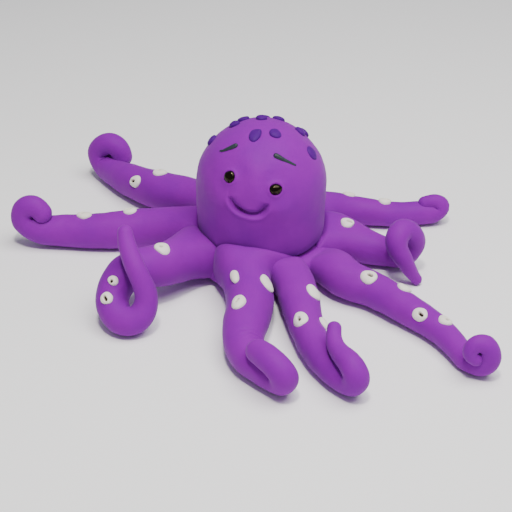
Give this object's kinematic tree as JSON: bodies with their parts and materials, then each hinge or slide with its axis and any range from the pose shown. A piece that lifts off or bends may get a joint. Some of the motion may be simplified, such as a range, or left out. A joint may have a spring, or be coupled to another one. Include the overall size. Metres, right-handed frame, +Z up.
{
  "type": "modelling clay octopus figure",
  "caption": "Posable modelling-clay octopus with a domed smiling head, coiled tapering arms that lift at the hub, and pressed-on suckers and spots.",
  "frame": {"origin": "middle of the hub's flat underside, on the table", "axes": "+Z up through the head, -Y towards the front, +X to the viewer's right"},
  "size_m": [0.1521, 0.1465, 0.0508],
  "materials": {
    "clay": "matte",
    "sucker_clay": "matte",
    "spot_clay": "matte",
    "brow_clay": "satin",
    "bead": "gloss",
    "foil": "crumpled",
    "wire": "satin",
    "peg_wood": "matte"
  },
  "bodies": {
    "hub": {"hub": "clay", "hub_armature": "wire", "neck_peg": "peg_wood"},
    "head": {"head": "clay", "foil_core": "foil", "eye_left": "bead", "eye_right": "bead", "brow_left": "brow_clay", "brow_right": "brow_clay", "head_spots": "spot_clay"},
    "front_arm": {"front_arm": "clay", "front_arm_wire": "wire", "front_arm_suckers": "sucker_clay"},
    "front_right_arm": {"front_right_arm": "clay", "front_right_arm_wire": "wire", "front_right_arm_suckers": "sucker_clay"},
    "right_front_arm": {"right_front_arm": "clay", "right_front_arm_wire": "wire", "right_front_arm_suckers": "sucker_clay"},
    "right_arm": {"right_arm": "clay", "right_arm_wire": "wire", "right_arm_suckers": "sucker_clay"},
    "rear_right_arm": {"rear_right_arm": "clay", "rear_right_arm_wire": "wire", "rear_right_arm_suckers": "sucker_clay"},
    "rear_left_arm": {"rear_left_arm": "clay", "rear_left_arm_wire": "wire", "rear_left_arm_suckers": "sucker_clay"},
    "left_arm": {"left_arm": "clay", "left_arm_wire": "wire", "left_arm_suckers": "sucker_clay"},
    "left_front_arm": {"left_front_arm": "clay", "left_front_arm_wire": "wire", "left_front_arm_suckers": "sucker_clay"}
  },
  "joints": [
    {"name": "head_turn", "type": "hinge", "parent": "hub", "child": "head", "pos_m": [0, 0, 0.011], "axis": [0, 0, 1], "range_deg": [-35, 35]},
    {"name": "front_arm_lift", "type": "hinge", "parent": "hub", "child": "front_arm", "pos_m": [-0.00581, -0.02329, 0.0095], "axis": [-0.9885, -0.1513, 0], "range_deg": [0, 25]},
    {"name": "front_right_arm_lift", "type": "hinge", "parent": "hub", "child": "front_right_arm", "pos_m": [0.00899, -0.02225, 0.008], "axis": [-0.96, -0.28, 0], "range_deg": [0, 25]},
    {"name": "right_front_arm_lift", "type": "hinge", "parent": "hub", "child": "right_front_arm", "pos_m": [0.02119, -0.01127, 0.008], "axis": [-0.7926, -0.6097, 0], "range_deg": [0, 25]},
    {"name": "right_arm_lift", "type": "hinge", "parent": "hub", "child": "right_arm", "pos_m": [0.02363, 0.00417, 0.008], "axis": [-0.5199, -0.8542, 0], "range_deg": [0, 25]},
    {"name": "rear_right_arm_lift", "type": "hinge", "parent": "hub", "child": "rear_right_arm", "pos_m": [0.01606, 0.01784, 0.008], "axis": [0.1609, -0.987, 0], "range_deg": [0, 30]},
    {"name": "rear_left_arm_lift", "type": "hinge", "parent": "hub", "child": "rear_left_arm", "pos_m": [-0.01377, 0.01966, 0.0083], "axis": [0.6654, 0.7465, 0], "range_deg": [0, 25]},
    {"name": "left_arm_lift", "type": "hinge", "parent": "hub", "child": "left_arm", "pos_m": [-0.02295, 0.00702, 0.008], "axis": [0.0535, 0.9986, 0], "range_deg": [0, 30]},
    {"name": "left_front_arm_lift", "type": "hinge", "parent": "hub", "child": "left_front_arm", "pos_m": [-0.02119, -0.01127, 0.0095], "axis": [-0.8178, 0.5755, 0], "range_deg": [0, 20]}
  ]
}
